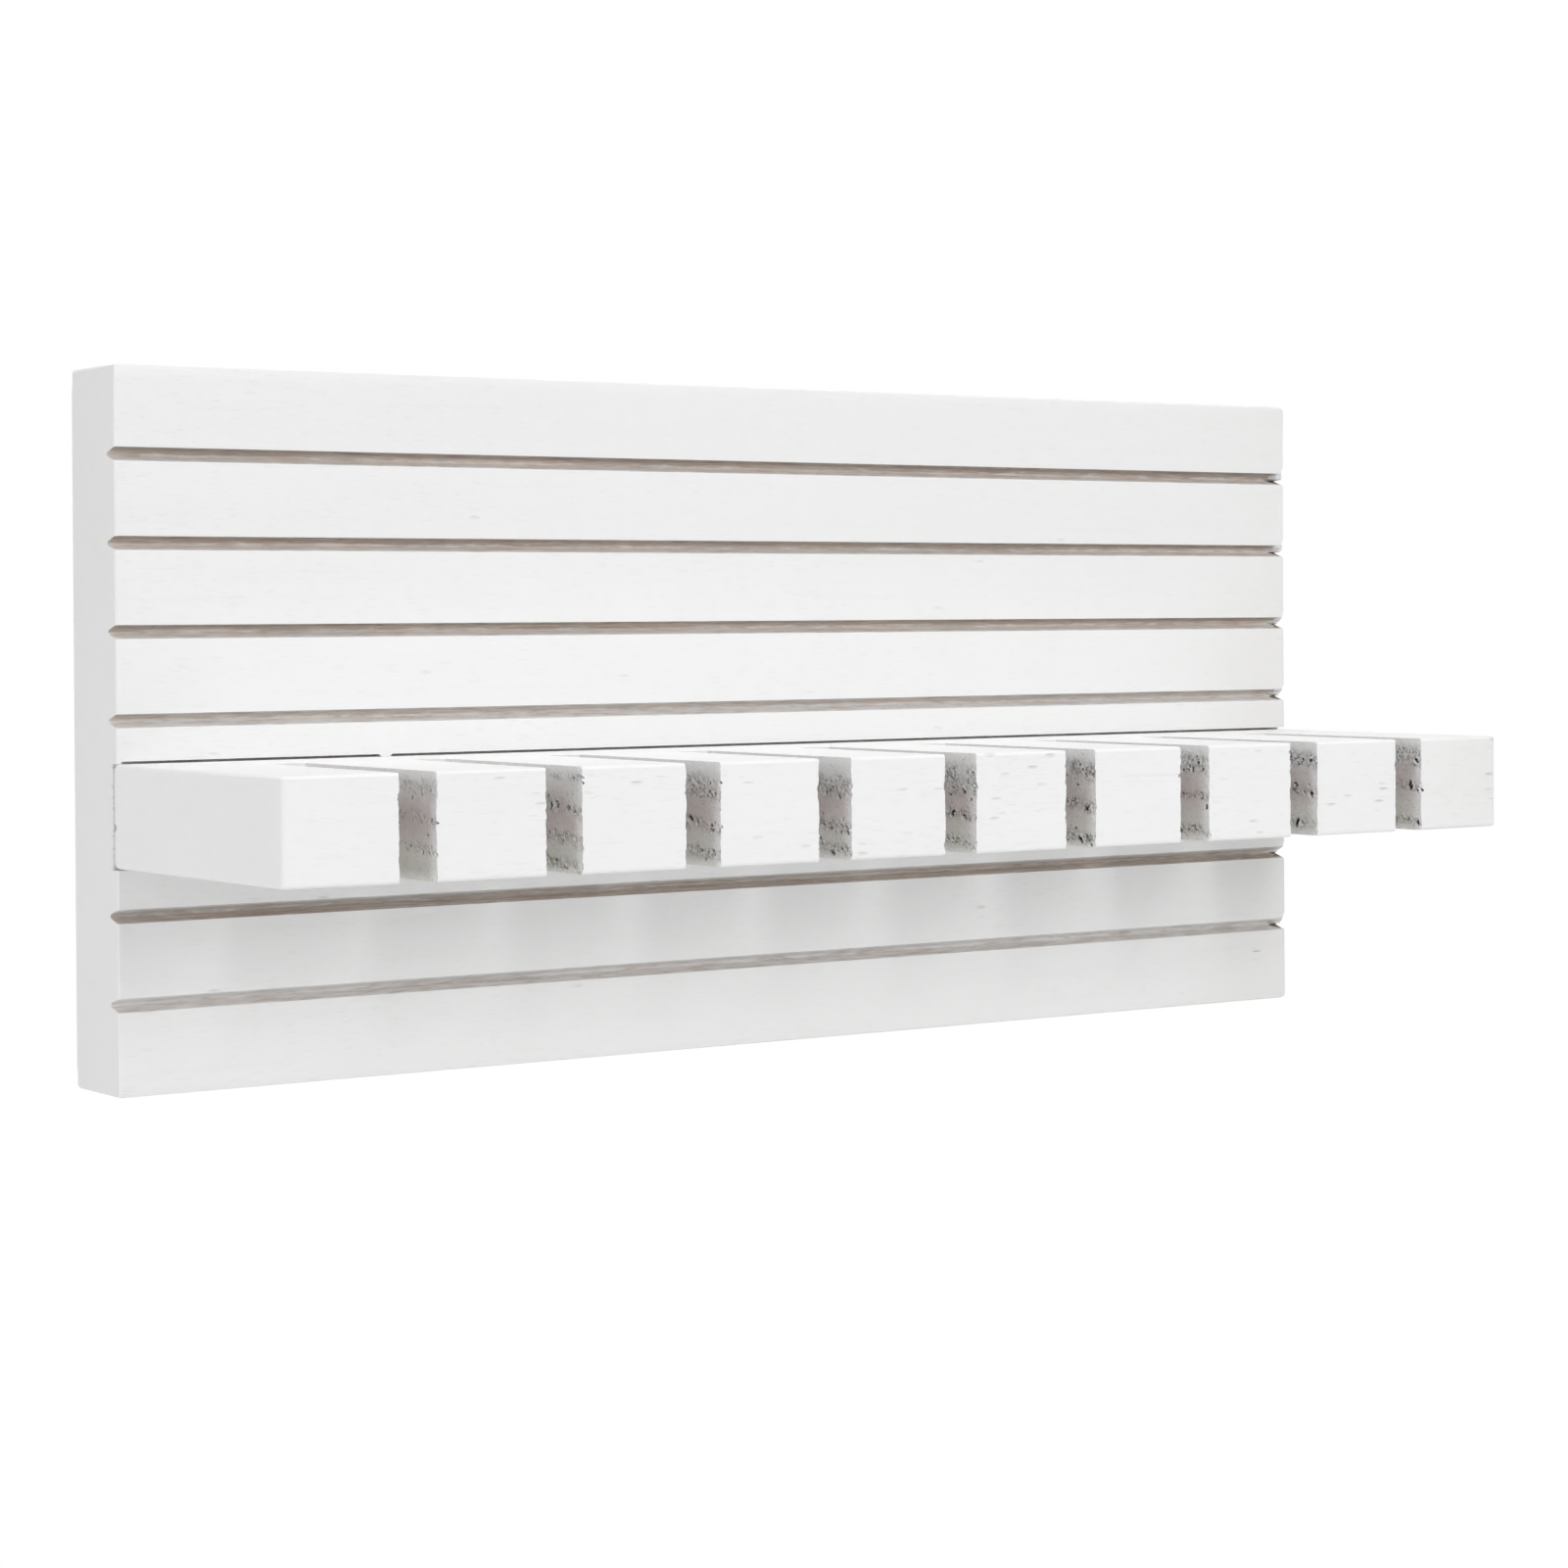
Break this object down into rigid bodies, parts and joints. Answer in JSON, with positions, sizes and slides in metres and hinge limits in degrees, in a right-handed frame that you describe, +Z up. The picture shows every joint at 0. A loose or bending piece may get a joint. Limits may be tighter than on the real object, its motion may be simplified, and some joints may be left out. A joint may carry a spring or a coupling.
{
  "type": "belt rack",
  "caption": "Wall belt rack: a white-painted wooden backboard with V grooves carries a thick slotted rail housed in its face; belts hang by their buckles from the slots.",
  "frame": {"origin": "centre of the backboard's rear face, which lies against the wall", "axes": "+Z up, +X along the board to the viewer's right, +Y into the wall, so the front faces -Y"},
  "size_m": [0.3, 0.0884, 0.14],
  "materials": {
    "board_paint": "wood under thin satin white paint, bare and brownish in the grooves",
    "rail_paint": "wood under thin satin white paint, rough and grey in the sawn slots",
    "yellow_zinc": "yellow zinc plate",
    "zinc_plate": "bright zinc plate",
    "zinc_screw": "bright zinc plate"
  },
  "bodies": {
    "root": {"backboard": "board_paint", "belt_rail": "rail_paint", "rail_screw_1": "yellow_zinc", "rail_screw_2": "yellow_zinc", "rail_screw_3": "yellow_zinc", "rail_screw_4": "yellow_zinc", "keyhole_hanger_left": "zinc_plate", "keyhole_hanger_right": "zinc_plate", "hanger_screw_left_top": "zinc_screw", "hanger_screw_left_bottom": "zinc_screw", "hanger_screw_right_top": "zinc_screw", "hanger_screw_right_bottom": "zinc_screw"}
  },
  "joints": []
}
